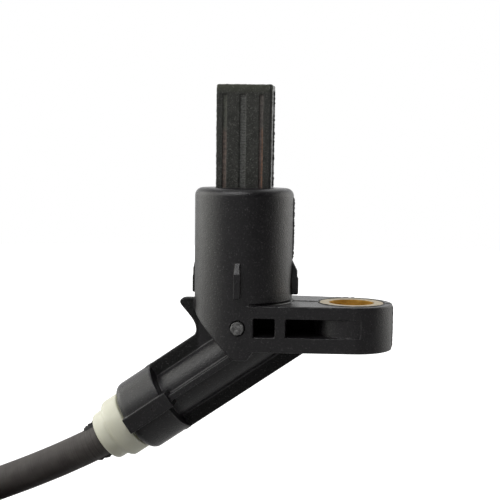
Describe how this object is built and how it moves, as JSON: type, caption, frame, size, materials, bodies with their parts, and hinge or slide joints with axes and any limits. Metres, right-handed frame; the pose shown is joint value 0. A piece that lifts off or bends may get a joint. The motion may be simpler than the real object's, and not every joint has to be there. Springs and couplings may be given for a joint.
{
  "type": "wheel speed sensor",
  "caption": "Inductive wheel speed sensor: flat sensing bar on a round moulded barrel, bolt lug with a brass bush, angled cable outlet, and a coiled lead with its plug.",
  "frame": {"origin": "on the barrel's axis, in the plane of the lug's top face, which seats on the knuckle", "axes": "+Z along the barrel to the sensing tip, +X from the barrel to the fixing bolt, -Y the front"},
  "size_m": [0.1332, 0.0905, 0.0922],
  "materials": {
    "housing_plastic": "satin moulded plastic",
    "bar_plastic": "rough matt moulded plastic",
    "pole_steel": "drawn",
    "magnet_nickel": "plated",
    "copper_wire": "enamelled",
    "bush_brass": "turned",
    "seal_rubber": "matt",
    "sleeve_nylon": "translucent, satin",
    "core_brown": "satin",
    "core_blue": "satin",
    "terminal_brass": "stamped",
    "copper_strand": "bright",
    "crimp_tin": "tinned",
    "cable_jacket": "extruded, satin",
    "tie_plastic": "satin",
    "plug_plastic": "fine spark texture",
    "pin_tin": "tinned",
    "plug_seal_rubber": "matt"
  },
  "bodies": {
    "root": {"housing": "housing_plastic", "coil_former": "bar_plastic", "pole_bar": "pole_steel", "magnet": "magnet_nickel", "coil_winding": "copper_wire", "lug_bush": "bush_brass", "cable_seal": "seal_rubber", "nylon_sleeve": "sleeve_nylon", "core_insulation_front": "core_brown", "core_insulation_rear": "core_blue", "terminal_front": "terminal_brass", "terminal_rear": "terminal_brass", "conductor_front": "copper_strand", "conductor_rear": "copper_strand", "crimp_front": "crimp_tin", "crimp_rear": "crimp_tin", "cable": "cable_jacket", "cable_coil": "cable_jacket", "cable_tail": "cable_jacket", "cable_tie": "tie_plastic", "plug_housing": "plug_plastic", "plug_pin_1": "pin_tin", "plug_pin_2": "pin_tin", "plug_seal": "plug_seal_rubber"}
  },
  "joints": []
}
